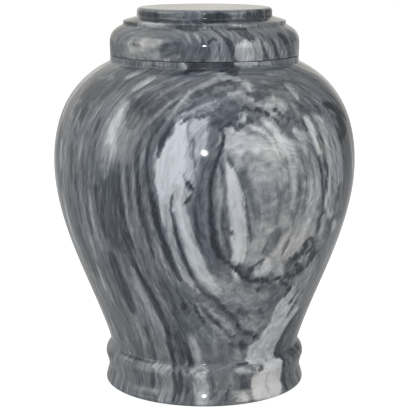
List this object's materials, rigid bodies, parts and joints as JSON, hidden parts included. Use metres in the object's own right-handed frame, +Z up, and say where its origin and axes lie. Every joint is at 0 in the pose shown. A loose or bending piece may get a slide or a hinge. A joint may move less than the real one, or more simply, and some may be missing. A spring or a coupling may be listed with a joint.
{
  "type": "marble urn",
  "caption": "Turned and polished grey marble urn: a hollow vase-shaped body on a moulded foot, closed by a stepped lid that lifts off.",
  "frame": {"origin": "centre of the flat underside, on the surface that the urn stands on", "axes": "+Z up along the turning axis, towards the lid; -Y is the side that faces the viewer"},
  "size_m": [0.2118, 0.2118, 0.267],
  "materials": {
    "body_marble": "polished",
    "lid_marble": "polished"
  },
  "bodies": {
    "root": {"urn_body": "body_marble", "lid": "lid_marble"}
  },
  "joints": []
}
